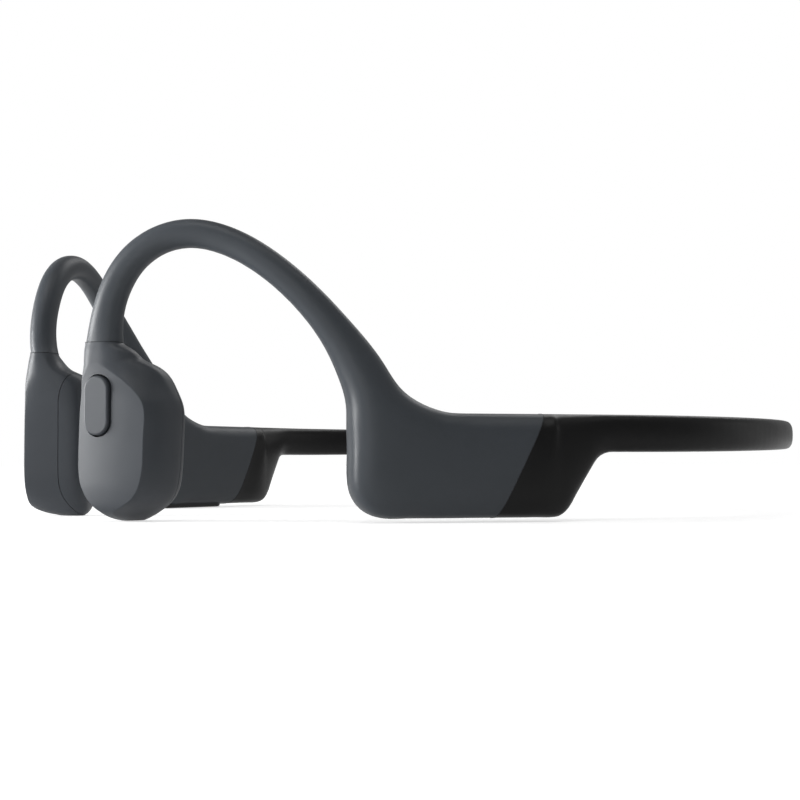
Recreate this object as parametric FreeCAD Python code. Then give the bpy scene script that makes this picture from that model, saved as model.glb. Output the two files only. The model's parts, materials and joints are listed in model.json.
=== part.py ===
import FreeCAD, Part
import math
import os

V = FreeCAD.Vector
UP = V(0, 0, 1)

# ---------------------------------------------------------------------------
# Driving dimensions, in millimetres and degrees.
# Frame: +X is the wearer's left, -Y is the front, +Z is up, and Z = 0 is the
# surface that the headphones stand on. Everything is laid out along the plan
# line: from the middle of the rear it runs round two arcs, straight through
# the pod, round a bend and along the ear hook. A distance u along the line is
# 0 where the band meets the pod's straight run and grows towards the front.
# ---------------------------------------------------------------------------

REAR_Y = 72.35           # rear middle of the plan line
REAR_RADIUS = 59.1
REAR_SWEEP = 36.5
SIDE_RADIUS = 54.2
SIDE_SWEEP = 74.1
POD_RUN = 41.1
BEND_RADIUS = 35.0
BEND_SWEEP = 24.5

# Pod, and the boot behind it that runs into the band.
TOP_Z = 16.9
POD_LOW = 0.5
POD_THICK = 9.4
POD_POWER = 3.4          # squareness of the pod's section
POD_FRONT = 41.05        # front edge of the pod
POD_CORNER_RADIUS = 6.0
ROOT_RADIUS = 14.0       # hollow curve from the pod's top up into the hook
ROOT_START = 23.3
TAPER_START = 12.0       # where the pod starts to thin towards the band
TAPER_END = -3.0
BOOT_SLOPE = 57.8        # rear face of the pod, from horizontal
BOOT_FOOT = 6.6
BOOT_FOOT_RADIUS = 3.0
BOOT_ARCH_RADIUS = 4.0
BOOT_JOINT = 14.2        # where the slanted joint of sleeve and boot crosses mid height
BOOT_JOINT_ANGLE = 64.0

# Band.
BAND_DROP = 6.0          # height of the band where it leaves the pod
BAND_DROP_REAR = 4.4
BAND_THICK = 3.3
BAND_THICK_REAR = 2.9
BAND_POWER = 2.6
BAND_END = -4.0          # where the band and its boot meet

# Transducer. Its own axes are p, along its width and towards the rear, and d,
# outwards from the head.
TRANSDUCER_REACH = 20.0  # its middle, past the end of the bend
TRANSDUCER_SHIFT = -2.2  # and outwards from the plan line
TRANSDUCER_TURN = 11.9   # its outward line, turned on from the plan line's own
PARTING_DEPTH = -0.6     # joint of the outer shell and the contact pad
PARTING_LOW = 6.2        # the joint is level between these heights and
PARTING_HIGH = 19.3      # bends inwards beyond them
PARTING_RADIUS = 8.2
PARTING_TILT = 8.5       # and its rear edge lies deeper than its front edge
PARTING_PIVOT = -7.0
PARTING_REACH = 20.0     # beyond the housing on every side
LIP_DEPTH = 3.0          # how far the pad's lip is rooted below the joint
LIP_TOP = 0.4
PANEL_CROWN = 0.3        # bulge of the outer panel at its widest
PARTING_GROOVE = 0.1
SEAM_Z = 28.1            # joint of the housing's neck and the hook sleeve
SHOULDER_Z = 21.0        # where the housing starts to narrow into its neck
SEAM_WIDTH = 6.1
SEAM_THICK = 4.5
SEAM_P = -3.75
SEAM_D = 2.35
CAVITY_P = -0.4
CAVITY_Z = 12.3
CAVITY_WIDTH = 10.4
CAVITY_HEIGHT = 18.2
CAVITY_OUT = 4.2         # inner face of the outer wall
POCKET_IN = -4.3         # floor of the contact pad
LIP = 0.6

# Driver, from the pad outwards.
COIL_WIDTH = 5.2
COIL_HEIGHT = 9.0
COIL_WALL = 0.5
COIL_OUT = -1.4
YOKE_WIDTH = 7.2
YOKE_HEIGHT = 11.0
YOKE_WALL = 0.8
YOKE_IN = -3.4
YOKE_OUT = 1.0
MAGNET_WIDTH = 3.6
MAGNET_HEIGHT = 7.2
POLE_THICK = 0.6
POLE_IN = -3.0
SPRING_THICK = 0.2
SPRING_WIDTH = 7.0
SPRING_LENGTH = 16.4
SPRING_SLOT = 0.7
FRAME_IN = -0.2
FRAME_OUT = 1.8
FRAME_CLEAR = 0.2

# Buttons and switches.
BUTTON_P = -2.95
BUTTON_Z = 18.05
BUTTON_WIDTH = 4.5
BUTTON_HEIGHT = 9.3
BUTTON_GAP = 0.25
BUTTON_FACE = 6.05
BUTTON_EDGE = 0.35
BUTTON_TRAVEL = 0.35
FLANGE_THICK = 0.6
FLANGE_GAP = 0.1
TAB = 0.75               # how far the flange reaches past the button at each end
BOARD_THICK = 0.6
BOARD_HALF = 1.35        # the switch's board in front of and above its middle,
BOARD_REACH = 4.55       # behind it,
BOARD_DROP = 5.45        # and below it
SWITCH_SIZE = 2.6
SWITCH_CAN = 0.25        # how far the plunger stands out of its can
PLUNGER_RADIUS = 0.8

# Hook tube.
HOOK_WIDTH = 4.45
HOOK_THICK = 4.1
HOOK_POWER = 2.2         # squareness of its section
HOOK_WIRE = 1.1
HOOK_LEAD = 0.9
WIRE_OFFSET = 0.75       # wire and lead each side of the tube's middle

# Case in each pod: u, n outwards, z.
CASE_REAR = 11.0
CASE_FRONT = 37.6
CASE_HALF = 3.3
CASE_LOW = 2.1
CASE_TOP = 15.1
CASE_RADIUS = 1.9
CASE_WALL = 0.8
CASE_FLOOR = CASE_WALL - CASE_HALF      # inside of the wall next to the head
CELL_GAP = 0.8           # behind the cell
CELL_HEAD = 2.2          # room in front of it, for its board
CELL_CLEAR = 0.3         # above and below it
CELL_THICK = 4.4
CELL_RADIUS = 1.2
CELL_BOARD = 0.8         # thickness of its board, and of the tabs on it
BOARD_GAP = 0.8          # behind the main board
BOARD_LOW = 4.2
BOARD_HIGH = 13.2
POST_HEIGHT = 1.4
POST_RADIUS = 0.7
BOARD_FACE = CASE_FLOOR + POST_HEIGHT + BOARD_THICK
# Parts on the main board: u and z of the rear lower corner, length, height, thickness.
MAIN_CHIP = (15.6, 5.6, 6.0, 6.0, 0.9)
REGULATOR = (22.6, 9.4, 3.0, 2.4, 0.8)
MEMORY = (22.8, 5.6, 2.0, 1.6, 0.7)
CRYSTAL = (26.6, 9.6, 2.4, 2.4, 0.9)
AMPLIFIER = (26.6, 5.4, 3.2, 2.2, 0.8)
CAPACITOR = (31.0, 5.2, 1.0, 0.5, 0.5)
CAPACITOR_STEP = 1.5
CAPACITORS = 5
ANTENNA = (33.4, 9.4, 1.8, 3.2, 0.9)
MICROPHONE = (33.2, 4.6, 2.6, 1.9, 0.9)

# Control strip under the right pod, from its rear end forwards: charging
# contacts between two magnets, status light, volume down, volume up.
STRIP_REAR = 19.5
STRIP_WIDTH = 5.0
STRIP_FLOOR = 1.0
STRIP_MARGIN = 0.6
CONTACT_SPACING = 2.2
CONTACT_RADIUS = 0.55
MAGNET_REACH = 2.0       # from the contacts to each magnet
MAGNET_LENGTH = 1.2
LED_RADIUS = 0.5
PAD_LENGTH = 4.0
PAD_WIDTH = 2.6
PAD_SPACING = 5.0
PAD_FACE = 0.15
PAD_GAP = 0.2
PAD_FLANGE = 0.4
PAD_FLANGE_THICK = 0.4
KEY_SWITCH_LENGTH = 2.8
KEY_SWITCH_WIDTH = 2.0
MAGNET_WIDE = 2.4
MAGNET_FLOOR = 0.6
RECESS_WIDTH = 3.2
CONTACT_U = STRIP_REAR + STRIP_MARGIN + MAGNET_LENGTH / 2 + MAGNET_REACH
LED_U = CONTACT_U + MAGNET_REACH + MAGNET_LENGTH / 2 + STRIP_MARGIN + LED_RADIUS
VOLUME_DOWN = LED_U + LED_RADIUS + STRIP_MARGIN + PAD_FLANGE + PAD_LENGTH / 2
VOLUME_UP = VOLUME_DOWN + PAD_SPACING
STRIP_FRONT = VOLUME_UP + PAD_LENGTH / 2 + PAD_FLANGE + STRIP_MARGIN
STRIP_LENGTH = STRIP_FRONT - STRIP_REAR
STRIP_MIDDLE = (STRIP_FRONT + STRIP_REAR) / 2

# Neckband's wire and leads.
NECK_WIRE = 1.2
NECK_LEAD = 1.0
NECK_WIRE_DROP = 1.55
NECK_LEAD_DROP = 3.0

FIT = 0.05               # clearance round what is seated in a pocket
RING_POINTS = 16


def polar(radius, angle):
    return V(radius * math.cos(math.radians(angle)), radius * math.sin(math.radians(angle)), 0)


def ease(x):
    x = max(0.0, min(1.0, x))
    return x * x * (3 - 2 * x)


def mix(a, b, share):
    return a + (b - a) * share


REAR_ARC = math.radians(REAR_SWEEP) * REAR_RADIUS
SIDE_ARC = math.radians(SIDE_SWEEP) * SIDE_RADIUS
BEND_ARC = math.radians(BEND_SWEEP) * BEND_RADIUS


def path(u):
    """Point, forward direction and outward normal of the plan line at u."""
    s = u + REAR_ARC + SIDE_ARC
    hand = -1.0 if s < 0 else 1.0
    s = abs(s)
    angle = 90.0 - math.degrees(min(s, REAR_ARC) / REAR_RADIUS)
    point = V(0, REAR_Y - REAR_RADIUS, 0) + polar(REAR_RADIUS, angle)
    if s > REAR_ARC:
        centre = point - polar(SIDE_RADIUS, angle)
        angle = angle - math.degrees((min(s, REAR_ARC + SIDE_ARC) - REAR_ARC) / SIDE_RADIUS)
        point = centre + polar(SIDE_RADIUS, angle)
    if u > 0:
        point = point + polar(1.0, angle - 90.0) * min(u, POD_RUN)
    if u > POD_RUN:
        centre = point - polar(BEND_RADIUS, angle)
        angle = angle - math.degrees(min(u - POD_RUN, BEND_ARC) / BEND_RADIUS)
        point = centre + polar(BEND_RADIUS, angle)
        point = point + polar(1.0, angle - 90.0) * max(0.0, u - POD_RUN - BEND_ARC)
    forward, normal = polar(1.0, angle - 90.0), polar(1.0, angle)
    return V(point.x * hand, point.y, 0), V(forward.x * hand, forward.y, 0), V(normal.x * hand, normal.y, 0)


def ring(centre, across, through, half_width, half_thick, power):
    """Points round a section with squared-off sides."""
    points = []
    for i in range(RING_POINTS):
        turn = 2 * math.pi * i / RING_POINTS
        c, s = math.cos(turn), math.sin(turn)
        a = half_width * math.copysign(abs(c) ** (2.0 / power), c)
        b = half_thick * math.copysign(abs(s) ** (2.0 / power), s)
        points.append(centre + across * a + through * b)
    return points


def spaced(rings):
    """Parameters along the rings, by the mean distance from each to the next."""
    places = [0.0]
    for near, far in zip(rings, rings[1:]):
        places.append(places[-1] + sum((b - a).Length for a, b in zip(near, far)) / len(near))
    return places


def skin(rings):
    """Solid with one smooth face through all the rings and a flat face at each end."""
    along = spaced(rings)
    columns = []
    for points in zip(*rings):
        column = Part.BSplineCurve()
        column.interpolate(Points=list(points), Parameters=along)
        columns.append(column)
    rows = []
    for poles in zip(*[column.getPoles() for column in columns]):
        row = Part.BSplineCurve()
        row.interpolate(Points=list(poles), PeriodicFlag=True,
                        Parameters=[float(i) for i in range(len(poles) + 1)])
        rows.append(row)
    surface = Part.BSplineSurface()
    surface.buildFromPolesMultsKnots([row.getPoles() for row in rows],
                                     columns[0].getMultiplicities(), rows[0].getMultiplicities(),
                                     columns[0].getKnots(), rows[0].getKnots(),
                                     False, True, columns[0].Degree, rows[0].Degree)
    side = surface.toShape()
    ends = [Part.Face(Part.Wire([edge])) for edge in side.Edges if edge.isClosed()]
    shell = Part.Shell([side] + ends)
    shell.sewShape()
    return Part.Solid(shell)


# --- pod and band -----------------------------------------------------------

def low_edge(u):
    """Height of the lower edge of the pod, its rear face and the band."""
    slope = math.radians(BOOT_SLOPE)
    reach = math.tan(slope / 2)
    rise = TOP_Z - BAND_DROP - POD_LOW
    foot = BOOT_FOOT + BOOT_FOOT_RADIUS * reach
    foot_end = BOOT_FOOT - BOOT_FOOT_RADIUS * reach * math.cos(slope)
    arch = BOOT_FOOT - rise / math.tan(slope)
    arch_start = arch + BOOT_ARCH_RADIUS * reach * math.cos(slope)
    arch_end = arch - BOOT_ARCH_RADIUS * reach
    if u >= foot:
        return POD_LOW
    if u >= foot_end:
        return POD_LOW + BOOT_FOOT_RADIUS - math.sqrt(BOOT_FOOT_RADIUS ** 2 - (foot - u) ** 2)
    if u >= arch_start:
        return POD_LOW + (BOOT_FOOT - u) * math.tan(slope)
    if u >= arch_end:
        dip = BOOT_ARCH_RADIUS - math.sqrt(BOOT_ARCH_RADIUS ** 2 - (u - arch_end) ** 2)
        return POD_LOW + rise - dip
    return POD_LOW + rise


def corner_point(angle):
    """Point (u, z) on the pod's rounded front lower corner."""
    spot = polar(POD_CORNER_RADIUS, angle)
    return POD_FRONT - POD_CORNER_RADIUS + spot.x, POD_LOW + POD_CORNER_RADIUS + spot.y


def root_point(along):
    """Point (u, z) on the hollow curve, along in front of its start."""
    return ROOT_START + along, TOP_Z + ROOT_RADIUS - math.sqrt(ROOT_RADIUS ** 2 - along ** 2)


def taper(u):
    return ease((TAPER_START - u) / (TAPER_START - TAPER_END))


def span_ring(top, low, thick, power):
    """Section of hook or pod between two (u, z) points of its side outline."""
    u, z = mix(low[0], top[0], 0.5), mix(low[1], top[1], 0.5)
    point, forward, normal = path(u)
    lean = V(top[0] - low[0], top[1] - low[1], 0)
    across = forward * (lean.x / lean.Length) + UP * (lean.y / lean.Length)
    return ring(point + UP * z, across, normal, lean.Length / 2, thick / 2, power)


def joint_ends():
    """Upper and lower end of the slanted joint of sleeve and boot."""
    middle = (TOP_Z + POD_LOW) / 2
    lean = (TOP_Z - middle) / math.tan(math.radians(BOOT_JOINT_ANGLE))
    return (BOOT_JOINT - lean, TOP_Z), (BOOT_JOINT + lean, POD_LOW)


def boot_form():
    """Rear of the pod, from the slanted joint down to the band."""
    top, low = joint_ends()
    rings = [span_ring(top, low, POD_THICK, POD_POWER)]
    upright_from = BOOT_FOOT + 1.2
    for share in (0.4, 0.75):
        low_u = mix(low[0], upright_from, share)
        rings.append(span_ring((mix(top[0], upright_from, share), TOP_Z), (low_u, low_edge(low_u)),
                               mix(POD_THICK, BAND_THICK, taper(low_u)), POD_POWER))
    for u in (7.8, 6.8, 5.8, 4.8, 3.8, 2.8, 1.8, 0.8, -0.2, -1.3, -2.5, BAND_END):
        rings.append(span_ring((u, TOP_Z), (u, low_edge(u)), mix(POD_THICK, BAND_THICK, taper(u)),
                               mix(POD_POWER, BAND_POWER, taper(u))))
    return skin(rings)


def band_form():
    rings = []
    total = REAR_ARC + SIDE_ARC
    count = 14
    for i in range(count + 1):
        s = (total + BAND_END) * (1 - 2.0 * i / count)
        share = ease(1 - abs(s) / (total + BAND_END))
        drop = mix(BAND_DROP, BAND_DROP_REAR, share)
        thick = mix(BAND_THICK, BAND_THICK_REAR, share)
        point, forward, normal = path(s - total)
        centre = point + V(0, 0, TOP_Z - drop / 2)
        rings.append(ring(centre, UP, normal, drop / 2, thick / 2, BAND_POWER))
    return skin(rings)


# --- shared shapes ----------------------------------------------------------

RIGHT = V(1, 0, 0)
OUT_ANGLE = 90.0 - REAR_SWEEP - SIDE_SWEEP - BEND_SWEEP - TRANSDUCER_TURN
TURN_DIR = polar(1.0, OUT_ANGLE + 90.0)
OUT_DIR = polar(1.0, OUT_ANGLE)


def transducer_middle():
    point, forward, normal = path(POD_RUN + BEND_ARC + TRANSDUCER_REACH)
    return point + normal * TRANSDUCER_SHIFT


def at_pod(shape):
    """Place a shape drawn with x = u and y = outwards in the left pod."""
    shape.rotate(V(0, 0, 0), UP, -REAR_SWEEP - SIDE_SWEEP)
    shape.translate(path(0)[0])
    return shape


def at_transducer(shape):
    """Place a shape drawn with x = p and y = -d in the left transducer."""
    shape.rotate(V(0, 0, 0), UP, OUT_ANGLE + 90.0)
    shape.translate(transducer_middle())
    return shape


def block(x0, x1, y0, y1, z0, z1):
    return Part.makeBox(x1 - x0, y1 - y0, z1 - z0, V(x0, y0, z0))


def bar(x0, x1, y0, y1, z0, z1, radius):
    """Box with its edges along x rounded."""
    solid = block(x0, x1, y0, y1, z0, z1)
    edges = [e for e in solid.Edges if abs(e.tangentAt(e.FirstParameter).x) > 0.9]
    return solid.makeFillet(radius, edges)


def stadium(middle, along, side, length, width, depth):
    """Round-ended slab: a flat outline pushed along the vector depth."""
    radius = width / 2
    front = middle + along * (length / 2 - radius)
    back = middle - along * (length / 2 - radius)
    corners = [front + side * radius, front - side * radius, back - side * radius, back + side * radius]
    edges = [Part.Arc(corners[0], front + along * radius, corners[1]).toShape(),
             Part.LineSegment(corners[1], corners[2]).toShape(),
             Part.Arc(corners[2], back - along * radius, corners[3]).toShape(),
             Part.LineSegment(corners[3], corners[0]).toShape()]
    return Part.Face(Part.Wire(edges)).extrude(depth)


def upright(p, z, width, height, inner, outer):
    """Round-ended slab in the transducer, from depth inner to outer."""
    return stadium(V(p, -inner, z), UP, RIGHT, height, width, V(0, inner - outer, 0))


def core(width, height, inner, outer):
    """Rectangular slab of the driver, from depth inner to outer."""
    return block(CAVITY_P - width / 2, CAVITY_P + width / 2, -outer, -inner,
                 CAVITY_Z - height / 2, CAVITY_Z + height / 2)


def flat(u, n, length, width, low, high):
    """Round-ended slab in the pod, lying flat."""
    return stadium(V(u, n, low), RIGHT, V(0, 1, 0), length, width, V(0, 0, high - low))


def sweep(edges, diameter):
    spine = Part.Wire(edges)
    start = edges[0].Vertexes[0].Point
    direction = edges[0].tangentAt(edges[0].FirstParameter)
    section = Part.Wire([Part.makeCircle(diameter / 2, start, direction)])
    return spine.makePipeShell([section], True, False)


def smooth_run(points):
    """Straight runs through the points, joined by tangent arcs."""
    edges = []
    start = points[0]
    for before, corner, after in zip(points, points[1:], points[2:]):
        into = corner - before
        out = after - corner
        reach = 0.42 * min(into.Length, out.Length)
        turn = into.getAngle(out)
        into.normalize()
        out.normalize()
        radius = reach / math.tan(turn / 2)
        inward = out - into
        inward.normalize()
        first = corner - into * reach
        middle = corner + inward * (radius / math.cos(turn / 2) - radius)
        last = corner + out * reach
        edges.append(Part.LineSegment(start, first).toShape())
        edges.append(Part.Arc(first, middle, last).toShape())
        start = last
    edges.append(Part.LineSegment(start, points[-1]).toShape())
    return edges


def mirrored(shape):
    return shape.mirror(V(0, 0, 0), RIGHT)


# --- ear hook -----------------------------------------------------------------

# Stations of the hook: u, height, width across the hook, thickness through
# it and the direction of the width line, from forward towards up.
HOOK_STATIONS = [
    (79.3, 33.0, HOOK_WIDTH + 0.6, HOOK_THICK, 3), (77.7, 37.4, HOOK_WIDTH + 0.3, HOOK_THICK, 25),
    (75.5, 40.6, HOOK_WIDTH + 0.15, HOOK_THICK, 45), (71.3, 43.6, HOOK_WIDTH, HOOK_THICK, 68),
    (66.3, 44.7, HOOK_WIDTH, HOOK_THICK, 88), (60.2, 43.5, HOOK_WIDTH, HOOK_THICK, 107),
    (53.2, 39.6, HOOK_WIDTH, HOOK_THICK + 0.1, 126), (46.6, 33.7, 4.8, 4.5, 139),
    (43.2, 29.7, 5.4, 4.9, 145), (39.0, 23.4, 7.3, 6.6, 160)]
SEAM_CENTRE = transducer_middle() + UP * SEAM_Z + TURN_DIR * SEAM_P + OUT_DIR * SEAM_D
WIRE_FOOT = [(36.0, 18.8), (34.6, 15.8)]
LEAD_FOOT = [(37.8, 18.8), (36.2, 13.4)]
LEAD_TIP_Z = 19.9
WIRE_TIP_Z = 25.5
ANCHOR_SIZE = (32.9, 36.2, 1.3, 17.1)


def hook_station(u, z, angle):
    """Middle of the hook at a station, its width line and its thickness line."""
    point, forward, normal = path(u)
    across = forward * math.cos(math.radians(angle)) + UP * math.sin(math.radians(angle))
    return point + UP * z, across, normal


def sleeve_form():
    """Hook and front of the pod in one skin, from the neck to the slanted joint."""
    rings = [ring(SEAM_CENTRE, TURN_DIR * -1, OUT_DIR, SEAM_WIDTH / 2, SEAM_THICK / 2, HOOK_POWER)]
    for u, z, width, thick, angle in HOOK_STATIONS:
        rings.append(ring(*hook_station(u, z, angle), width / 2, thick / 2, HOOK_POWER))
    fan = [(root_point(9.2), (POD_FRONT + 0.2, 18.0), 8.0, 2.4),
           (root_point(6.0), (POD_FRONT + 0.1, 14.6), 8.9, 2.7),
           (root_point(3.2), (POD_FRONT, 10.6), 9.3, 3.0),
           (root_point(1.2), corner_point(0), POD_THICK, 3.2)]
    for step, angle in enumerate((-30, -58, -90)):
        fan.append(((ROOT_START - 0.6 - 1.3 * step, TOP_Z), corner_point(angle), POD_THICK, POD_POWER))
    top, low = joint_ends()
    start = fan[-1]
    for share in (0.15, 0.4, 0.7, 1.0):
        fan.append(((mix(start[0][0], top[0], share), TOP_Z), (mix(start[1][0], low[0], share), POD_LOW),
                    POD_THICK, POD_POWER))
    return skin(rings + [span_ring(*station) for station in fan])


def hook_run(offset, tip, foot):
    """Line of a wire inside the hook, offset across the tube."""
    seam = SEAM_CENTRE - TURN_DIR * offset
    points = [V(seam.x, seam.y, tip), seam]
    for u, z, width, thick, angle in HOOK_STATIONS:
        middle, across, normal = hook_station(u, z, angle)
        points.append(middle + across * offset)
    for u, z in foot:
        points.append(path(u)[0] + UP * z)
    return smooth_run(points)


def hook_wire(clearance=0.0):
    return sweep(hook_run(WIRE_OFFSET, WIRE_TIP_Z, WIRE_FOOT), HOOK_WIRE + 2 * clearance)


def hook_leads(clearance=0.0):
    return sweep(hook_run(-WIRE_OFFSET, LEAD_TIP_Z, LEAD_FOOT), HOOK_LEAD + 2 * clearance)


def hook_anchor(clearance=0.0):
    rear, front, half, top = ANCHOR_SIZE
    return at_pod(block(rear - clearance, front + clearance, -half - clearance, half + clearance,
                        CASE_TOP, top + clearance))


# --- transducer -----------------------------------------------------------------

# Level sections of the housing, from the neck down: height, then front corner
# and rear corner of the flat outer panel, front and rear extremes, inner face,
# outer face, and the depth at which the section is widest.
HOUSING_ROWS = [
    (SEAM_Z, -4.05, -3.45, -6.80, -0.70, 0.10, 4.60, 2.35), (27.3, -4.2, -3.3, -6.95, 0.2, -0.2, 4.75, 2.0),
    (26.1, -4.4, -3.2, -7.05, 1.7, -1.0, 4.95, 1.6), (25.1, -4.5, -3.0, -7.1, 2.6, -2.3, 5.1, 1.0),
    (24.2, -4.8, -2.6, -7.1, 4.1, -4.0, 5.2, 0.3), (22.4, -5.9, 0.5, -7.05, 5.5, -5.2, 5.2, -0.6),
    (20.4, -6.1, 3.2, -7.0, 6.4, -5.4, 5.2, -1.3), (18.2, -6.3, 5.0, -7.0, 7.2, -5.4, 5.2, -2.0),
    (15.5, -6.5, 5.3, -7.05, 7.35, -5.4, 5.2, -2.4), (10.6, -6.7, 5.05, -7.1, 7.1, -5.4, 5.2, -2.4),
    (7.0, -6.6, 4.7, -7.0, 6.8, -5.4, 5.2, -2.4), (5.2, -6.1, 4.1, -6.7, 6.4, -5.4, 5.2, -2.4),
    (3.7, -5.25, 3.0, -6.3, 5.6, -5.3, 5.15, -2.4), (2.5, -4.2, 1.2, -5.75, 4.4, -5.2, 5.05, -2.4),
    (1.6, -3.1, -0.6, -5.2, 3.1, -5.1, 4.65, -2.4), (0.8, -2.5, -1.2, -4.6, 1.7, -4.8, 3.3, -2.4),
    (0.3, -2.2, -1.4, -4.0, 0.7, -4.4, 1.6, -2.4), (0.0, -2.0, -1.4, -3.5, 0.0, -4.0, 0.0, -2.4)]


def corner_arc(start, end, power, swap):
    """Points round a quarter from start to end, without the first one."""
    points = []
    for i in range(1, 6):
        turn = math.radians(18.0 * i)
        a = math.sin(turn) ** (2.0 / power)
        b = 1 - math.cos(turn) ** (2.0 / power)
        if swap:
            a, b = b, a
        points.append((mix(start[0], end[0], a), mix(start[1], end[1], b)))
    return points


def level_section(row):
    """Flat outer panel and the rounded rest of one level section."""
    z, panel_front, panel_rear, front, rear, inner, outer, widest = row
    middle = (front + rear) / 2
    rise = ease((z - SHOULDER_Z) / (SEAM_Z - SHOULDER_Z))
    quick_rise = ease((z - SHOULDER_Z) / 3.5)
    points = [(panel_rear, outer)]
    points += corner_arc((panel_rear, outer), (rear, widest), mix(1.5, 2.2, rise), False)
    points += corner_arc((rear, widest), (middle, inner), mix(3.0, 2.2, rise), True)
    points += corner_arc((middle, inner), (front, widest), mix(3.0, 2.2, rise), False)
    points += corner_arc((front, widest), (panel_front, outer), mix(1.5, 2.5, quick_rise), True)
    corners = [V(p, -d, z) for p, d in points]
    curve = Part.BSplineCurve()
    curve.interpolate(Points=corners, Parameters=[float(i) for i in range(len(corners))])
    crown = PANEL_CROWN * min(1.0, (panel_rear - panel_front) / 11.0) ** 2
    panel = Part.Arc(corners[-1], (corners[-1] + corners[0]) * 0.5 - V(0, crown, 0), corners[0])
    return Part.Wire([curve.toShape(), panel.toShape()])


def housing_form():
    return Part.makeLoft([level_section(row) for row in HOUSING_ROWS], True)


def cavity(inset, inner, outer):
    return upright(CAVITY_P, CAVITY_Z, CAVITY_WIDTH - 2 * inset, CAVITY_HEIGHT - 2 * inset, inner, outer)


def button_slab(extra_width, extra_height, inner, outer):
    """Slab in line with the multifunction button, larger all round by the extras."""
    return upright(BUTTON_P, BUTTON_Z, BUTTON_WIDTH + 2 * extra_width, BUTTON_HEIGHT + 2 * extra_height,
                   inner, outer)


def inner_side(shift):
    """Everything on the head's side of the parting surface moved in by shift."""
    level = shift - PARTING_DEPTH
    low_centre = V(-PARTING_REACH, level + PARTING_RADIUS, PARTING_LOW)
    high_centre = V(-PARTING_REACH, level + PARTING_RADIUS, PARTING_HIGH)
    bend = polar(PARTING_RADIUS, 45)
    low_end = low_centre - UP * PARTING_RADIUS
    high_end = high_centre + UP * PARTING_RADIUS
    foot = low_centre - V(0, PARTING_RADIUS, 0)
    head = high_centre - V(0, PARTING_RADIUS, 0)
    back = V(0, PARTING_REACH, 0)
    edges = [Part.Arc(low_end, low_centre - V(0, bend.x, bend.y), foot), Part.LineSegment(foot, head),
             Part.Arc(head, high_centre + V(0, -bend.x, bend.y), high_end),
             Part.LineSegment(high_end, high_end + back), Part.LineSegment(high_end + back, low_end + back),
             Part.LineSegment(low_end + back, low_end)]
    side = Part.Face(Part.Wire([edge.toShape() for edge in edges])).extrude(RIGHT * (2 * PARTING_REACH))
    side.rotate(V(PARTING_PIVOT, -PARTING_DEPTH, 0), UP, PARTING_TILT)
    return side


def transducer_housing():
    shell = housing_form().cut(inner_side(0))
    return shell.cut(cavity(0, PARTING_DEPTH - LIP_DEPTH, CAVITY_OUT))


def contact_pad():
    """Inner half, hollow for the driver, with a lip that enters the housing."""
    outside = housing_form().common(inner_side(PARTING_GROOVE))
    lip = cavity(FIT, PARTING_DEPTH - LIP_DEPTH, LIP_TOP)
    return outside.fuse(lip).cut(cavity(LIP, POCKET_IN, LIP_TOP))


def driver_coil():
    outer = upright(CAVITY_P, CAVITY_Z, COIL_WIDTH, COIL_HEIGHT, POCKET_IN, COIL_OUT)
    inner = upright(CAVITY_P, CAVITY_Z, COIL_WIDTH - 2 * COIL_WALL, COIL_HEIGHT - 2 * COIL_WALL,
                    POCKET_IN, COIL_OUT)
    return outer.cut(inner)


def driver_yoke():
    cup = core(YOKE_WIDTH, YOKE_HEIGHT, YOKE_IN, YOKE_OUT)
    walls = 2 * YOKE_WALL
    return cup.cut(core(YOKE_WIDTH - walls, YOKE_HEIGHT - walls, YOKE_IN, YOKE_OUT - YOKE_WALL))


def driver_magnet():
    return upright(CAVITY_P, CAVITY_Z, MAGNET_WIDTH, MAGNET_HEIGHT,
                   POLE_IN + POLE_THICK, YOKE_OUT - YOKE_WALL)


def driver_pole():
    return upright(CAVITY_P, CAVITY_Z, MAGNET_WIDTH, MAGNET_HEIGHT, POLE_IN, POLE_IN + POLE_THICK)


def driver_spring(clearance=0.0):
    plate = upright(CAVITY_P, CAVITY_Z, SPRING_WIDTH + 2 * clearance, SPRING_LENGTH + 2 * clearance,
                    YOKE_OUT - clearance, YOKE_OUT + SPRING_THICK + clearance)
    if clearance:
        return plate
    for side in (-1, 1):
        slot = upright(CAVITY_P, 0, SPRING_SLOT, SPRING_WIDTH - 4 * SPRING_SLOT,
                       YOKE_OUT, YOKE_OUT + SPRING_THICK)
        slot.rotate(V(CAVITY_P, 0, 0), V(0, 1, 0), 90)
        slot.translate(V(0, 0, CAVITY_Z + side * (YOKE_HEIGHT / 2 + SPRING_SLOT)))
        plate = plate.cut(slot)
    return plate


def driver_frame():
    body = cavity(LIP + FIT, FRAME_IN, FRAME_OUT)
    opening = core(YOKE_WIDTH + 2 * FRAME_CLEAR, YOKE_HEIGHT + 2 * FRAME_CLEAR, FRAME_IN, FRAME_OUT)
    return body.cut(opening).cut(driver_spring(FIT))


def add_button(housing):
    """Open the left housing for the multifunction button and its flange."""
    hole = button_slab(BUTTON_GAP, BUTTON_GAP, 0, BUTTON_FACE)
    chamber = button_slab(2 * BUTTON_GAP, TAB + BUTTON_GAP, 3.0, CAVITY_OUT)
    return housing.cut(hole.common(block(-20, 20, -20, -CAVITY_OUT, 0, 30))).cut(chamber)


def multifunction_button():
    top = CAVITY_OUT - FLANGE_GAP
    head = button_slab(0, 0, top, BUTTON_FACE)
    rim = [e for e in head.Edges if abs(e.CenterOfMass.y + BUTTON_FACE) < 0.01]
    head = head.makeFillet(BUTTON_EDGE, rim)
    return head.fuse(button_slab(0.2, TAB, top - FLANGE_THICK, top))


def multifunction_board():
    return block(BUTTON_P - BOARD_HALF, BUTTON_P + BOARD_REACH, -FRAME_OUT - BOARD_THICK, -FRAME_OUT,
                 BUTTON_Z - BOARD_DROP, BUTTON_Z + BOARD_HALF)


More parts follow.
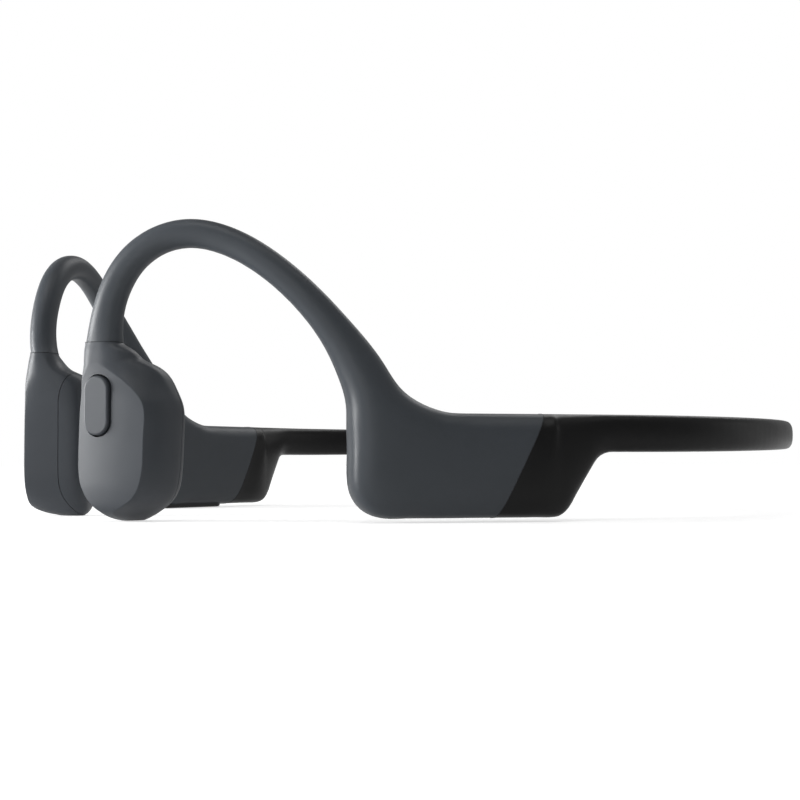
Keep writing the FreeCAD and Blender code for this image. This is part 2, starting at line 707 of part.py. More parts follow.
def multifunction_switch():
    low = FRAME_OUT + BOARD_THICK
    high = CAVITY_OUT - FLANGE_GAP - FLANGE_THICK - BUTTON_TRAVEL - FIT
    half = SWITCH_SIZE / 2
    body = block(BUTTON_P - half, BUTTON_P + half, SWITCH_CAN - high, -low, BUTTON_Z - half, BUTTON_Z + half)
    plunger = Part.makeCylinder(PLUNGER_RADIUS, high - low, V(BUTTON_P, -low, BUTTON_Z), V(0, -1, 0))
    return body.fuse(plunger)


# --- pods -------------------------------------------------------------------

def case_solid(clearance=0.0):
    return bar(CASE_REAR - clearance, CASE_FRONT + clearance, -CASE_HALF - clearance, CASE_HALF + clearance,
               CASE_LOW - clearance, CASE_TOP + clearance, CASE_RADIUS)


def case_room():
    return bar(CASE_REAR + CASE_WALL, CASE_FRONT - CASE_WALL, CASE_WALL - CASE_HALF, CASE_HALF - CASE_WALL,
               CASE_LOW + CASE_WALL, CASE_TOP - CASE_WALL, CASE_RADIUS - CASE_WALL)


def case_half(side, openings):
    """Outer (side 1) or inner (side -1) half of a pod's case."""
    shell = case_solid().cut(case_room())
    far = 10.0 * side
    half = shell.common(block(0, 60, min(0, far), max(0, far), 0, 30))
    return half.cut(openings) if openings else half


CELL_FRONT = CASE_FRONT - CASE_WALL - CELL_HEAD
CELL_MIDDLE = (CASE_LOW + CASE_TOP) / 2


def battery_cell():
    margin = CASE_WALL + CELL_CLEAR
    return bar(CASE_REAR + CASE_WALL + CELL_GAP, CELL_FRONT, CASE_FLOOR, CASE_FLOOR + CELL_THICK,
               CASE_LOW + margin, CASE_TOP - margin, CELL_RADIUS)


def battery_board():
    """Protection board across the cell's front end, with three solder tabs."""
    face = CELL_FRONT + CELL_BOARD
    board = block(CELL_FRONT, face, CASE_FLOOR, CASE_FLOOR + 4.0, CELL_MIDDLE - 4.8, CELL_MIDDLE + 4.8)
    for reach in (-2.9, 0, 2.9):
        low = CELL_MIDDLE + reach - 0.8
        board = board.fuse(block(face, face + CELL_BOARD, CASE_FLOOR + 0.8, CASE_FLOOR + 2.6, low, low + 1.6))
    return board


BOARD_REAR = CASE_REAR + CASE_WALL + BOARD_GAP
BOARD_FRONT = CASE_FRONT - CASE_WALL - 0.2


def board_posts():
    """Four posts on the inner case wall, one under each corner of the main board."""
    inset = 2 * POST_RADIUS
    posts = [Part.makeCylinder(POST_RADIUS, POST_HEIGHT, V(u, CASE_FLOOR, z), V(0, 1, 0))
             for u in (BOARD_REAR + inset, BOARD_FRONT - inset)
             for z in (BOARD_LOW + inset, BOARD_HIGH - inset)]
    return posts[0].multiFuse(posts[1:])


def main_board():
    return block(BOARD_REAR, BOARD_FRONT, BOARD_FACE - BOARD_THICK, BOARD_FACE, BOARD_LOW, BOARD_HIGH)


def chip(u, z, length, height, thick):
    """Part on the main board, by its rear lower corner."""
    return block(u, u + length, BOARD_FACE, BOARD_FACE + thick, z, z + height)


def board_parts():
    """What sits beside the main chip, with a row of capacitors."""
    parts = [chip(*spot) for spot in (REGULATOR, MEMORY, CRYSTAL, AMPLIFIER)]
    for i in range(CAPACITORS):
        capacitor = chip(*CAPACITOR)
        capacitor.translate(UP * (CAPACITOR_STEP * i))
        parts.append(capacitor)
    return Part.makeCompound(parts)


def control_strip():
    """Strip with its two button openings, hollow above its floor."""
    body = flat(STRIP_MIDDLE, 0, STRIP_LENGTH, STRIP_WIDTH, 0, CASE_LOW)
    rim = [e for e in body.Edges if e.CenterOfMass.z < 0.01]
    body = body.makeChamfer(0.25, rim)
    room = PAD_SPACING + PAD_LENGTH + 2 * PAD_FLANGE + 2 * PAD_GAP
    body = body.cut(flat((VOLUME_UP + VOLUME_DOWN) / 2, 0, room, PAD_WIDTH + 2 * PAD_FLANGE + 2 * PAD_GAP,
                         STRIP_FLOOR, CASE_LOW))
    for u in (VOLUME_UP, VOLUME_DOWN):
        body = body.cut(flat(u, 0, PAD_LENGTH + 2 * PAD_GAP, PAD_WIDTH + 2 * PAD_GAP, 0, CASE_LOW))
    body = body.cut(flat(CONTACT_U, 0, 2 * MAGNET_REACH + MAGNET_LENGTH, RECESS_WIDTH, 0, 0.3))
    return body.cut(charging_contacts(FIT)).cut(led_window(FIT)).cut(charging_magnets(FIT))


def charging_contacts(clearance=0.0):
    pins = [Part.makeCylinder(CONTACT_RADIUS + clearance, CASE_LOW - 0.2,
                              V(CONTACT_U, side * CONTACT_SPACING / 2, 0.2), UP) for side in (-1, 1)]
    return pins[0].fuse(pins[1]) if clearance else Part.makeCompound(pins)


def charging_magnets(clearance=0.0):
    half = MAGNET_LENGTH / 2 + clearance
    width = MAGNET_WIDE / 2 + clearance
    boxes = [block(CONTACT_U + reach - half, CONTACT_U + reach + half, -width, width,
                   MAGNET_FLOOR - clearance, CASE_LOW) for reach in (-MAGNET_REACH, MAGNET_REACH)]
    return boxes[0].fuse(boxes[1]) if clearance else Part.makeCompound(boxes)


def led_window(clearance=0.0):
    return Part.makeCylinder(LED_RADIUS + clearance, CASE_LOW - PAD_FACE, V(LED_U, 0, PAD_FACE), UP)


def volume_button(u):
    low = STRIP_FLOOR + FLANGE_GAP
    cap = flat(u, 0, PAD_LENGTH, PAD_WIDTH, PAD_FACE, low)
    rim = [e for e in cap.Edges if abs(e.CenterOfMass.z - PAD_FACE) < 0.01]
    cap = cap.makeChamfer(0.2, rim)
    return cap.fuse(flat(u, 0, PAD_LENGTH + 2 * PAD_FLANGE, PAD_WIDTH + 2 * PAD_FLANGE,
                         low, low + PAD_FLANGE_THICK))


def switch_window():
    """Openings in the case's floor for the volume switches."""
    length, width = KEY_SWITCH_LENGTH / 2 + 0.3, KEY_SWITCH_WIDTH / 2 + 0.3
    windows = [block(u - length, u + length, -width, width, 0, CASE_LOW + CASE_WALL)
               for u in (VOLUME_UP, VOLUME_DOWN)]
    return windows[0].fuse(windows[1])


def volume_switches():
    low = STRIP_FLOOR + FLANGE_GAP + PAD_FLANGE_THICK + BUTTON_TRAVEL + FIT
    room = CASE_LOW + CASE_WALL
    length, width = KEY_SWITCH_LENGTH / 2, KEY_SWITCH_WIDTH / 2
    board = block(VOLUME_DOWN - length - 0.8, CASE_FRONT - CASE_WALL - 0.1, -width - 0.5, width + 0.5,
                  room, room + BOARD_THICK)
    for u in (VOLUME_UP, VOLUME_DOWN):
        board = board.fuse(block(u - length, u + length, -width, width, low, room))
    return board


# --- neckband ---------------------------------------------------------------

NECK_ANCHOR = (6.2, 10.2, 1.2, 0.8)


def neck_run(front, height):
    """Plan line of the neckband from the left pod round to the right one."""
    left = [path(u)[0] + UP * height for u in (front, 0, -SIDE_ARC / 2, -SIDE_ARC)]
    right = [V(-p.x, p.y, p.z) for p in left]
    rear = V(0, REAR_Y, height)
    return [Part.LineSegment(left[0], left[1]).toShape(), Part.Arc(left[1], left[2], left[3]).toShape(),
            Part.Arc(left[3], rear, right[3]).toShape(), Part.Arc(right[3], right[2], right[1]).toShape(),
            Part.LineSegment(right[1], right[0]).toShape()]


def neckband_wire(clearance=0.0):
    front = NECK_ANCHOR[1] - 0.6 + clearance
    return sweep(neck_run(front, TOP_Z - NECK_WIRE_DROP), NECK_WIRE + 2 * clearance)


def neckband_leads(clearance=0.0):
    return sweep(neck_run(CASE_REAR + CASE_WALL + 0.5, TOP_Z - NECK_LEAD_DROP), NECK_LEAD + 2 * clearance)


def neckband_anchor(clearance=0.0):
    rear, front, half, rise = NECK_ANCHOR
    middle = TOP_Z - NECK_WIRE_DROP
    return at_pod(block(rear - clearance, front + clearance, -half - clearance, half + clearance,
                        middle - rise - clearance, middle + rise + clearance))


# --- assembly ---------------------------------------------------------------

def on_right(shape):
    return mirrored(at_pod(shape))


def build():
    pieces = {}
    room = at_pod(case_solid(FIT))
    bores = hook_wire(FIT).fuse(hook_leads(FIT)).fuse(hook_anchor(FIT))
    sleeve = sleeve_form().cut(room).cut(bores)
    strip_slot = at_pod(flat(STRIP_MIDDLE, 0, STRIP_LENGTH + 2 * FIT, STRIP_WIDTH + 2 * FIT,
                             -1, CASE_LOW + 0.5))
    pieces["left_hook_sleeve"] = sleeve
    pieces["right_hook_sleeve"] = mirrored(sleeve.cut(strip_slot))

    boot = boot_form().cut(room).cut(neckband_anchor(FIT))
    band = band_form().fuse(boot).fuse(mirrored(boot))
    pieces["neckband_sleeve"] = band.cut(neckband_wire(FIT)).cut(neckband_leads(FIT))
    pieces["neckband_wire"] = neckband_wire()
    pieces["neckband_leads"] = neckband_leads()

    anchor = neckband_anchor().cut(neckband_wire(FIT))
    hook_block = hook_anchor().cut(hook_wire(FIT))
    case_holes = hook_leads(FIT).fuse(neckband_leads(FIT))
    for side, place in (("left", lambda shape: shape), ("right", mirrored)):
        pieces[side + "_neckband_anchor"] = place(anchor)
        pieces[side + "_hook_anchor"] = place(hook_block)
        pieces[side + "_hook_wire"] = place(hook_wire())
        pieces[side + "_hook_leads"] = place(hook_leads())
        pieces[side + "_contact_pad"] = place(at_transducer(contact_pad()))
        pieces[side + "_driver_coil"] = place(at_transducer(driver_coil()))
        pieces[side + "_driver_yoke"] = place(at_transducer(driver_yoke()))
        pieces[side + "_driver_magnet"] = place(at_transducer(driver_magnet()))
        pieces[side + "_driver_pole"] = place(at_transducer(driver_pole()))
        pieces[side + "_driver_spring"] = place(at_transducer(driver_spring()))
        pieces[side + "_driver_frame"] = place(at_transducer(driver_frame()))

    neck_bores = hook_wire(FIT).fuse(hook_leads(FIT))
    pieces["left_transducer_housing"] = at_transducer(add_button(transducer_housing())).cut(neck_bores)
    pieces["right_transducer_housing"] = mirrored(at_transducer(transducer_housing()).cut(neck_bores))
    pieces["multifunction_button"] = at_transducer(multifunction_button())
    pieces["multifunction_board"] = at_transducer(multifunction_board())
    pieces["multifunction_switch"] = at_transducer(multifunction_switch())

    pieces["left_case_outer"] = at_pod(case_half(1, None)).cut(case_holes)
    pieces["left_case_inner"] = at_pod(case_half(-1, None)).cut(case_holes)
    pieces["battery_cell"] = at_pod(battery_cell())
    pieces["battery_board"] = at_pod(battery_board())
    pieces["right_case_outer"] = mirrored(at_pod(case_half(1, switch_window())).cut(case_holes))
    posted = case_half(-1, switch_window()).fuse(board_posts())
    pieces["right_case_inner"] = mirrored(at_pod(posted).cut(case_holes))
    pieces["main_board"] = on_right(main_board())
    pieces["main_chip"] = on_right(chip(*MAIN_CHIP))
    pieces["board_parts"] = on_right(board_parts())
    pieces["antenna"] = on_right(chip(*ANTENNA))
    pieces["microphone"] = on_right(chip(*MICROPHONE))
    pieces["control_strip"] = on_right(control_strip())
    pieces["volume_up_button"] = on_right(volume_button(VOLUME_UP))
    pieces["volume_down_button"] = on_right(volume_button(VOLUME_DOWN))
    pieces["volume_switches"] = on_right(volume_switches())
    pieces["charging_contacts"] = on_right(charging_contacts())
    pieces["charging_magnets"] = on_right(charging_magnets())
    pieces["status_led_window"] = on_right(led_window())
    return pieces


os.makedirs("parts", exist_ok=True)
for name, shape in build().items():
    shape.exportStep("parts/%s.step" % name)
    print(name, shape.isValid(), len(shape.Solids), round(shape.Volume, 1))
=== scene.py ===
import json
import math

import bmesh
import bpy
from mathutils import Matrix, Vector


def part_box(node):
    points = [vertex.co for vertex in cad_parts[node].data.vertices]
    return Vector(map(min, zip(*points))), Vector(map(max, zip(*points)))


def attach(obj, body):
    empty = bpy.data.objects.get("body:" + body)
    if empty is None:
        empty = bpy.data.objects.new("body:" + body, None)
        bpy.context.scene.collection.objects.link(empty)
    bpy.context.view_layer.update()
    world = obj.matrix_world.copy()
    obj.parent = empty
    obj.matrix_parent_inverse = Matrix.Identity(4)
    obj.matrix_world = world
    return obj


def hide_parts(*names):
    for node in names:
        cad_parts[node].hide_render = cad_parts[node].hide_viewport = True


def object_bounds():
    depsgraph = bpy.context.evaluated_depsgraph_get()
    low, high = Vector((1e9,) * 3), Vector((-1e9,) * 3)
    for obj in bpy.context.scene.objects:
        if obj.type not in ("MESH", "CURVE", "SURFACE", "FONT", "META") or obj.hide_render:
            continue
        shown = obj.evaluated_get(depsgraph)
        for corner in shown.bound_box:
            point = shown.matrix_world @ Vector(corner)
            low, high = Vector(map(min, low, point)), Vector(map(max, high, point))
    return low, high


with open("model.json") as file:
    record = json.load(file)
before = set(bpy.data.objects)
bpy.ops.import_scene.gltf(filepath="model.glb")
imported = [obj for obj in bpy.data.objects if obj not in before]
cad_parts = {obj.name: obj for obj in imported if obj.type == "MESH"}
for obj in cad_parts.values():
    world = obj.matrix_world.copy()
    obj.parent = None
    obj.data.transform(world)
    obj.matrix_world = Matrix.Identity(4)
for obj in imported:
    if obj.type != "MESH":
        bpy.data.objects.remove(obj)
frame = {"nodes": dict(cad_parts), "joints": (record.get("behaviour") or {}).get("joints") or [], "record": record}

bl_info = {
    "name": "Bone conduction headphones",
    "version": (1, 0, 0),
    "blender": (4, 5, 0),
    "location": "View3D > Sidebar > Headphones",
    "description": "Dresses the packed headphones and lights them on a pale floor",
    "category": "Object",
}

CAD_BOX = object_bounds()
HEADSET = "headset"
SIDES = ("left", "right")
MM = 0.001
UP = Vector((0, 0, 1))
POD_TURN = math.radians(20.6)      # a pod's forward line, turned in from straight ahead
CAD_WELD = 1e-6                    # merges the loose triangles of a CAD piece
PIECE_WELD = 1e-7                  # merges doubles in a finished piece
JOINTS = {joint["name"]: joint for joint in frame["joints"]}


# --- sizes and colours -------------------------------------------------------

class SleeveSettings(bpy.types.PropertyGroup):
    grey: bpy.props.FloatVectorProperty(
        name="Grey", description="Colour of the grey silicone", subtype="COLOR", size=3, min=0, max=1,
        default=(0.051, 0.058, 0.067))
    black: bpy.props.FloatVectorProperty(
        name="Black", description="Colour of the black silicone", subtype="COLOR", size=3, min=0, max=1,
        default=(0.0030, 0.0030, 0.0032))
    roughness: bpy.props.FloatProperty(
        name="Roughness", description="Roughness of the silicone skin", subtype="FACTOR",
        default=0.42, min=0, max=1)
    grain: bpy.props.FloatProperty(
        name="Grain", description="Size of the moulded grain", unit="LENGTH",
        default=0.00022, min=0.00001)


class HousingSettings(bpy.types.PropertyGroup):
    shell: bpy.props.FloatVectorProperty(
        name="Shell", description="Colour of the transducer shells", subtype="COLOR", size=3, min=0, max=1,
        default=(0.051, 0.057, 0.066))
    pad: bpy.props.FloatVectorProperty(
        name="Pad", description="Colour of the contact pads", subtype="COLOR", size=3, min=0, max=1,
        default=(0.050, 0.056, 0.065))
    roughness: bpy.props.FloatProperty(
        name="Roughness", description="Roughness of the shells", subtype="FACTOR",
        default=0.42, min=0, max=1)


class SeamSettings(bpy.types.PropertyGroup):
    width: bpy.props.FloatProperty(
        name="Width", description="Width of the line where two skins meet", unit="LENGTH",
        default=0.00012, min=0.00002)
    # The line's colour is painted shade: it stands in for the shadow in the gap where two skins meet.
    colour: bpy.props.FloatVectorProperty(
        name="Colour", description="Colour of the shadowed joint line", subtype="COLOR", size=3,
        min=0, max=1, default=(0.018, 0.021, 0.025))


class DriverSettings(bpy.types.PropertyGroup):
    layers: bpy.props.IntProperty(
        name="Layers", description="Layers of wire on a voice coil", default=2, min=1)
    rows: bpy.props.IntProperty(
        name="Rows", description="Turns side by side in each layer", default=11, min=2)


class ElectronicsSettings(bpy.types.PropertyGroup):
    chip_pads: bpy.props.IntProperty(
        name="Chip pads", description="Soldered pads round the main chip", default=40, min=4)
    part_pads: bpy.props.IntProperty(
        name="Part pads", description="Soldered pads round each smaller part", default=12, min=4)
    tape: bpy.props.FloatProperty(
        name="Tape", description="Width of the tape bands round the cell", unit="LENGTH",
        default=0.0030, min=0.0005)


class KeySettings(bpy.types.PropertyGroup):
    reach: bpy.props.FloatProperty(
        name="Reach", description="Half the length of a raised key mark", unit="LENGTH",
        default=0.00085, min=0.0001)
    stroke: bpy.props.FloatProperty(
        name="Stroke", description="Width of a key mark's stroke", unit="LENGTH",
        default=0.00036, min=0.00005)
    relief: bpy.props.FloatProperty(
        name="Relief", description="Height of a key mark above its key", unit="LENGTH",
        default=0.00008, min=0)


class StageSettings(bpy.types.PropertyGroup):
    lens: bpy.props.FloatProperty(
        name="Lens", description="Focal length on a 36 mm sensor, in millimetres", default=64.37, min=1)
    key: bpy.props.FloatProperty(
        name="Key light", description="Power of the key light in watts", default=9.6, min=0)
    front: bpy.props.FloatProperty(
        name="Front lights", description="Power of the low front light in watts", default=0.36, min=0)
    back: bpy.props.FloatProperty(
        name="Back lights", description="Power of the high back light in watts", default=0.60, min=0)


# --- node trees --------------------------------------------------------------

class Value:
    """A node socket that takes part in arithmetic."""

    def __init__(self, graph, socket):
        self.graph = graph
        self.socket = socket

    def _math(self, operation, first, second):
        return self.graph.add("ShaderNodeMath", {"operation": operation}, [first, second])

    def __add__(self, other):
        return self._math("ADD", self, other)

    def __radd__(self, other):
        return self._math("ADD", other, self)

    def __sub__(self, other):
        return self._math("SUBTRACT", self, other)

    def __rsub__(self, other):
        return self._math("SUBTRACT", other, self)

    def __mul__(self, other):
        return self._math("MULTIPLY", self, other)

    def __rmul__(self, other):
        return self._math("MULTIPLY", other, self)

    def __truediv__(self, other):
        return self._math("DIVIDE", self, other)

    def __rtruediv__(self, other):
        return self._math("DIVIDE", other, self)

    def __lt__(self, other):
        return self._math("LESS_THAN", self, other)

    def __gt__(self, other):
        return self._math("GREATER_THAN", self, other)


class Graph:
    """A node tree under construction."""

    def __init__(self, tree):
        self.tree = tree

    def add(self, kind, settings=None, inputs=(), output=0):
        """Adds a node; inputs is a list by position or a dict by socket name."""
        node = self.tree.nodes.new(kind)
        for key, value in (settings or {}).items():
            setattr(node, key, value)
        pairs = inputs.items() if isinstance(inputs, dict) else enumerate(inputs)
        for key, value in pairs:
            self.feed(node.inputs[key], value)
        return Value(self, node.outputs[output]) if node.outputs else None

    def feed(self, socket, value):
        if isinstance(value, Value):
            self.tree.links.new(value.socket, socket)
        else:
            socket.default_value = value

    def ray(self, kind):
        """1 for rays of this kind, such as Is Camera Ray, and otherwise 0."""
        return self.add("ShaderNodeLightPath", output=kind)


class Finish(Graph):
    """A material under construction."""

    def __init__(self, name):
        self.material = bpy.data.materials.new(name)
        self.material.use_nodes = True
        super().__init__(self.material.node_tree)
        self.shader = self.tree.nodes["Principled BSDF"]

    def set(self, **values):
        for key, value in values.items():
            self.feed(self.shader.inputs[key.replace("_", " ")], value)
        return self.material

    def coordinates(self):
        return self.add("ShaderNodeTexCoord", output="Object")

    def noise(self, size, detail=3.0, roughness=0.55, vector=None):
        """Noise whose largest features are about size across."""
        where = vector or self.coordinates()
        return self.add("ShaderNodeTexNoise", {},
                        {"Vector": where, "Scale": 1 / size, "Detail": detail, "Roughness": roughness},
                        output="Fac")

    def tint(self, colour, amount, mask):
        """Colour that mask darkens and lightens by amount."""
        dark = [c * (1 - amount) for c in colour[:3]] + [1]
        light = [min(1, c * (1 + amount)) for c in colour[:3]] + [1]
        return self.blend(dark, light, mask)

    def blend(self, low, high, mask):
        """Colour that goes from low to high with mask; 6 and 7 are the node's colour sockets."""
        return self.add("ShaderNodeMix", {"data_type": "RGBA"}, {"Factor": mask, 6: low, 7: high},
                        output=2)

    def bump(self, height, depth, strength):
        return self.add("ShaderNodeBump", {}, {"Height": height, "Distance": depth, "Strength": strength},
                        output="Normal")


class Shape(Graph):
    """A Geometry Nodes tree under construction, with named inputs for its sizes."""

    KINDS = {int: "NodeSocketInt", float: "NodeSocketFloat", bpy.types.Material: "NodeSocketMaterial"}

    def __init__(self, name, **sizes):
        super().__init__(bpy.data.node_groups.new(name, "GeometryNodeTree"))
        self.sizes = {label.replace("_", " "): value for label, value in sizes.items()}
        interface = self.tree.interface
        interface.new_socket("Geometry", in_out="INPUT", socket_type="NodeSocketGeometry")
        interface.new_socket("Geometry", in_out="OUTPUT", socket_type="NodeSocketGeometry")
        for label, value in self.sizes.items():
            interface.new_socket(label, in_out="INPUT", socket_type=self.KINDS[type(value)])
        self.start = self.add("NodeGroupInput").socket.node

    def given(self, label):
        return Value(self, self.start.outputs[label])

    def vector(self, x=0.0, y=0.0, z=0.0):
        return self.add("ShaderNodeCombineXYZ", {}, [x, y, z])

    def rounded(self, width, height, radius, count):
        """Closed rectangle curve with round corners, in the XY plane."""
        plain = self.add("GeometryNodeCurvePrimitiveQuadrilateral", {}, {"Width": width, "Height": height})
        return self.add("GeometryNodeFilletCurve", {"mode": "POLY"},
                        {"Curve": plain, "Count": count, "Radius": radius, "Limit Radius": True})

    def circle(self, radius, points):
        return self.add("GeometryNodeCurvePrimitiveCircle", {}, {"Resolution": points, "Radius": radius})

    def tube(self, curve, radius, sides=8):
        return self.add("GeometryNodeCurveToMesh", {},
                        {"Curve": curve, "Profile Curve": self.circle(radius, sides)})

    def row(self, instance, count, offset, start=(0.0, 0.0, 0.0)):
        """Copies of instance along a line."""
        line = self.add("GeometryNodeMeshLine", {"mode": "OFFSET"},
                        {"Count": count, "Start Location": start, "Offset": offset})
        return self.spread(instance, line)

    def spread(self, instance, points):
        return self.add("GeometryNodeInstanceOnPoints", {}, {"Points": points, "Instance": instance})

    def join(self, parts):
        whole = self.add("GeometryNodeJoinGeometry")
        for part in parts:
            self.feed(whole.socket.node.inputs[0], part)
        return whole

    def end(self, geometry):
        whole = self.add("GeometryNodeRealizeInstances", {}, {"Geometry": geometry})
        dressed = self.add("GeometryNodeSetMaterial", {},
                           {"Geometry": whole, "Material": self.given("Material")})
        self.add("NodeGroupOutput", {}, {"Geometry": dressed})

    def make(self, start=None):
        """The tree's result as a plain mesh."""
        carrier = bpy.data.objects.new("carrier", start or bpy.data.meshes.new("carrier"))
        bpy.context.scene.collection.objects.link(carrier)
        modifier = carrier.modifiers.new("shape", "NODES")
        modifier.node_group = self.tree
        for item in self.tree.interface.items_tree:
            if item.in_out == "INPUT" and item.name in self.sizes:
                modifier[item.identifier] = self.sizes[item.name]
        evaluated = carrier.evaluated_get(bpy.context.evaluated_depsgraph_get())
        mesh = bpy.data.meshes.new_from_object(evaluated)
        carrier.modifiers.remove(modifier)
        bpy.data.objects.remove(carrier)
        mesh.materials.clear()
        mesh.materials.append(self.sizes["Material"])
        mesh.polygons.foreach_set("material_index", [0] * len(mesh.polygons))
        return mesh


# --- finishes ----------------------------------------------------------------

def silicone(name, colour, roughness, grain, gloss=0.30):
    """Moulded silicone skin: fine grain, faint cloudiness and a soft sheen."""
    f = Finish(name)
    fine = f.noise(grain, 2.0)
    cloud = f.noise(11 * MM, 3.0)
    handled = f.noise(3.5 * MM, 4.0)
    return f.set(Base_Color=f.tint(colour, 0.10, cloud * 0.6 + handled * 0.4),
                 Roughness=roughness - 0.06 + handled * 0.12,
                 Normal=f.bump(fine, 0.012 * MM, 0.5), Specular_IOR_Level=gloss)


def moulded(name, colour, roughness):
    """Spark-eroded moulded plastic."""
    f = Finish(name)
    fine = f.noise(0.16 * MM, 1.5)
    cloud = f.noise(9 * MM, 3.0)
    return f.set(Base_Color=f.tint(colour, 0.08, cloud), Roughness=roughness - 0.04 + cloud * 0.08,
                 Normal=f.bump(fine, 0.008 * MM, 0.5), Specular_IOR_Level=0.30)


def metal(name, colour, roughness, stretch):
    """Metal with drawn or brushed lines across the axis that is stretched most."""
    f = Finish(name)
    lines = f.add("ShaderNodeMapping", {}, {"Vector": f.coordinates(), "Scale": stretch})
    brushed = f.noise(0.9 * MM, 4.0, 0.6, lines)
    stain = f.noise(4 * MM, 3.0)
    return f.set(Base_Color=f.tint(colour, 0.12, stain), Metallic=1.0,
                 Roughness=roughness - 0.08 + brushed * 0.18, Normal=f.bump(brushed, 0.006 * MM, 0.35))


def circuit(name):
    """Green solder mask with copper tracks under it and tinned pads."""
    green, track_green, tin = (0.010, 0.085, 0.040, 1), (0.022, 0.150, 0.070, 1), (0.62, 0.60, 0.55, 1)
    f = Finish(name)
    where = f.coordinates()
    tracks = f.add("ShaderNodeTexBrick", {"offset": 0.5},
                   {"Vector": where, "Scale": 900.0, "Mortar Size": 0.03, "Brick Width": 1.1,
                    "Row Height": 0.28}, output="Fac")
    spots = f.add("ShaderNodeTexVoronoi", {"feature": "F1"}, {"Vector": where, "Scale": 1100.0},
                  output="Distance")
    pad = spots < 0.16
    return f.set(Base_Color=f.blend(f.blend(green, track_green, tracks), tin, pad),
                 Metallic=pad * 0.9, Roughness=0.38 - pad * 0.1,
                 Normal=f.bump(tracks, 0.01 * MM, 0.5))


def chip_resin(name):
    """Black encapsulation with a faint matt texture."""
    f = Finish(name)
    speck = f.noise(0.12 * MM, 2.0)
    return f.set(Base_Color=f.tint((0.022, 0.022, 0.024), 0.25, speck), Roughness=0.5 + speck * 0.12,
                 Normal=f.bump(speck, 0.006 * MM, 0.4))


def foil(name):
    """Crinkled aluminium laminate round the cell."""
    f = Finish(name)
    crinkle = f.noise(2.2 * MM, 5.0, 0.6)
    return f.set(Base_Color=f.tint((0.62, 0.63, 0.65), 0.08, crinkle), Metallic=0.85,
                 Roughness=0.28 + crinkle * 0.12, Normal=f.bump(crinkle, 0.08 * MM, 0.6))


def ceramic(name):
    """Fired ceramic with a faint speckle."""
    f = Finish(name)
    speck = f.noise(0.3 * MM, 3.0)
    return f.set(Base_Color=f.tint((0.62, 0.58, 0.50), 0.12, speck), Roughness=0.4 + speck * 0.2)


def tape(name, colour):
    """Glossy film tape with handling marks."""
    f = Finish(name)
    mark = f.noise(1.2 * MM, 4.0, 0.6)
    return f.set(Base_Color=f.tint(colour, 0.12, mark), Roughness=0.22 + mark * 0.14,
                 Normal=f.bump(mark, 0.03 * MM, 0.3))


def lens(name):
    """Frosted light pipe."""
    f = Finish(name)
    cloud = f.noise(0.6 * MM, 3.0)
    return f.set(Base_Color=f.tint((0.72, 0.75, 0.78), 0.06, cloud), Roughness=0.2 + cloud * 0.15)


def finishes(sleeve, housing):
    """One material for each of the record's slots."""
    dark = (0.030, 0.031, 0.034)
    return {
        "grey_silicone": silicone("grey silicone", sleeve.grey, sleeve.roughness, sleeve.grain),
        "black_silicone": silicone("black silicone", sleeve.black, sleeve.roughness - 0.08, sleeve.grain,
                                   0.20),
        "grey_plastic": moulded("grey shell", housing.shell, housing.roughness),
        "pad_grey": moulded("contact pad", housing.pad, housing.roughness + 0.06),
        "black_plastic": moulded("black trim", (0.010, 0.010, 0.011), 0.38),
        "case_plastic": moulded("case plastic", dark, 0.5),
        "memory_metal": metal("memory wire", (0.42, 0.40, 0.38), 0.32, (1, 1, 14)),
        "magnet_nickel": metal("nickel plating", (0.66, 0.64, 0.60), 0.20, (6, 6, 6)),
        "yoke_steel": metal("yoke steel", (0.40, 0.40, 0.41), 0.36, (1, 1, 14)),
        "copper_coil": metal("enamelled copper", (0.62, 0.24, 0.09), 0.30, (1, 1, 40)),
        "spring_steel": metal("spring steel", (0.55, 0.55, 0.57), 0.26, (14, 1, 1)),
        "lead_jacket": silicone("lead jacket", dark, 0.5, 0.2 * MM),
        "circuit_board": circuit("circuit board"),
        "chip_black": chip_resin("chip resin"),
        "antenna_ceramic": ceramic("antenna ceramic"),
        "cell_foil": foil("cell foil"),
        "gold_contact": metal("gold contact", (0.78, 0.52, 0.20), 0.18, (4, 4, 4)),
        "led_lens": lens("light pipe"),
        "switch_metal": metal("switch can", (0.52, 0.52, 0.54), 0.30, (10, 1, 1)),
    }


SLOT_MATERIALS = {}      # name of the material of each slot


def material(slot):
    return bpy.data.materials[SLOT_MATERIALS[slot]]


def dress_nodes():
    """Gives each CAD node the material of its slot."""
    for row in frame["record"]["subparts"]:
        slots = frame["nodes"][row["node"]].data.materials
        slots.clear()
        slots.append(material(row["material_slot"]))


# --- places on the object ----------------------------------------------------

def on_side(direction, side):
    """A direction given for the left side, as it is on this side."""
    return Vector((-direction.x, direction.y, direction.z)) if side == "right" else direction.copy()


def pod_axes(side):
    """Forward and outward directions of a pod."""
    forward = Vector((-math.sin(POD_TURN), -math.cos(POD_TURN), 0))
    outward = Vector((math.cos(POD_TURN), -math.sin(POD_TURN), 0))
    return on_side(forward, side), on_side(outward, side)


def transducer_axes(side):
    """Forward and outward directions of a transducer, whose outward one is the button's."""
    outward = Vector(JOINTS["press_multifunction"]["axis"]).normalized()
    return on_side(outward.cross(UP), side), on_side(outward, side)


def upright_axes(along, outward):
    """Axes with x along, y up and z outward."""
    return Matrix((along, UP, outward)).transposed()


def corners(points):
    """Lowest and highest corner of the box round some points."""
    return tuple([pick(point[i] for point in points) for i in range(3)] for pick in (min, max))


def inner_face(axes, low, high):
    """Placement on these axes at the middle of the inner face of the box from low to high."""
    middle = Vector(((low[0] + high[0]) / 2, (low[1] + high[1]) / 2, low[2]))
    return Matrix.Translation(axes @ middle) @ axes.to_4x4()


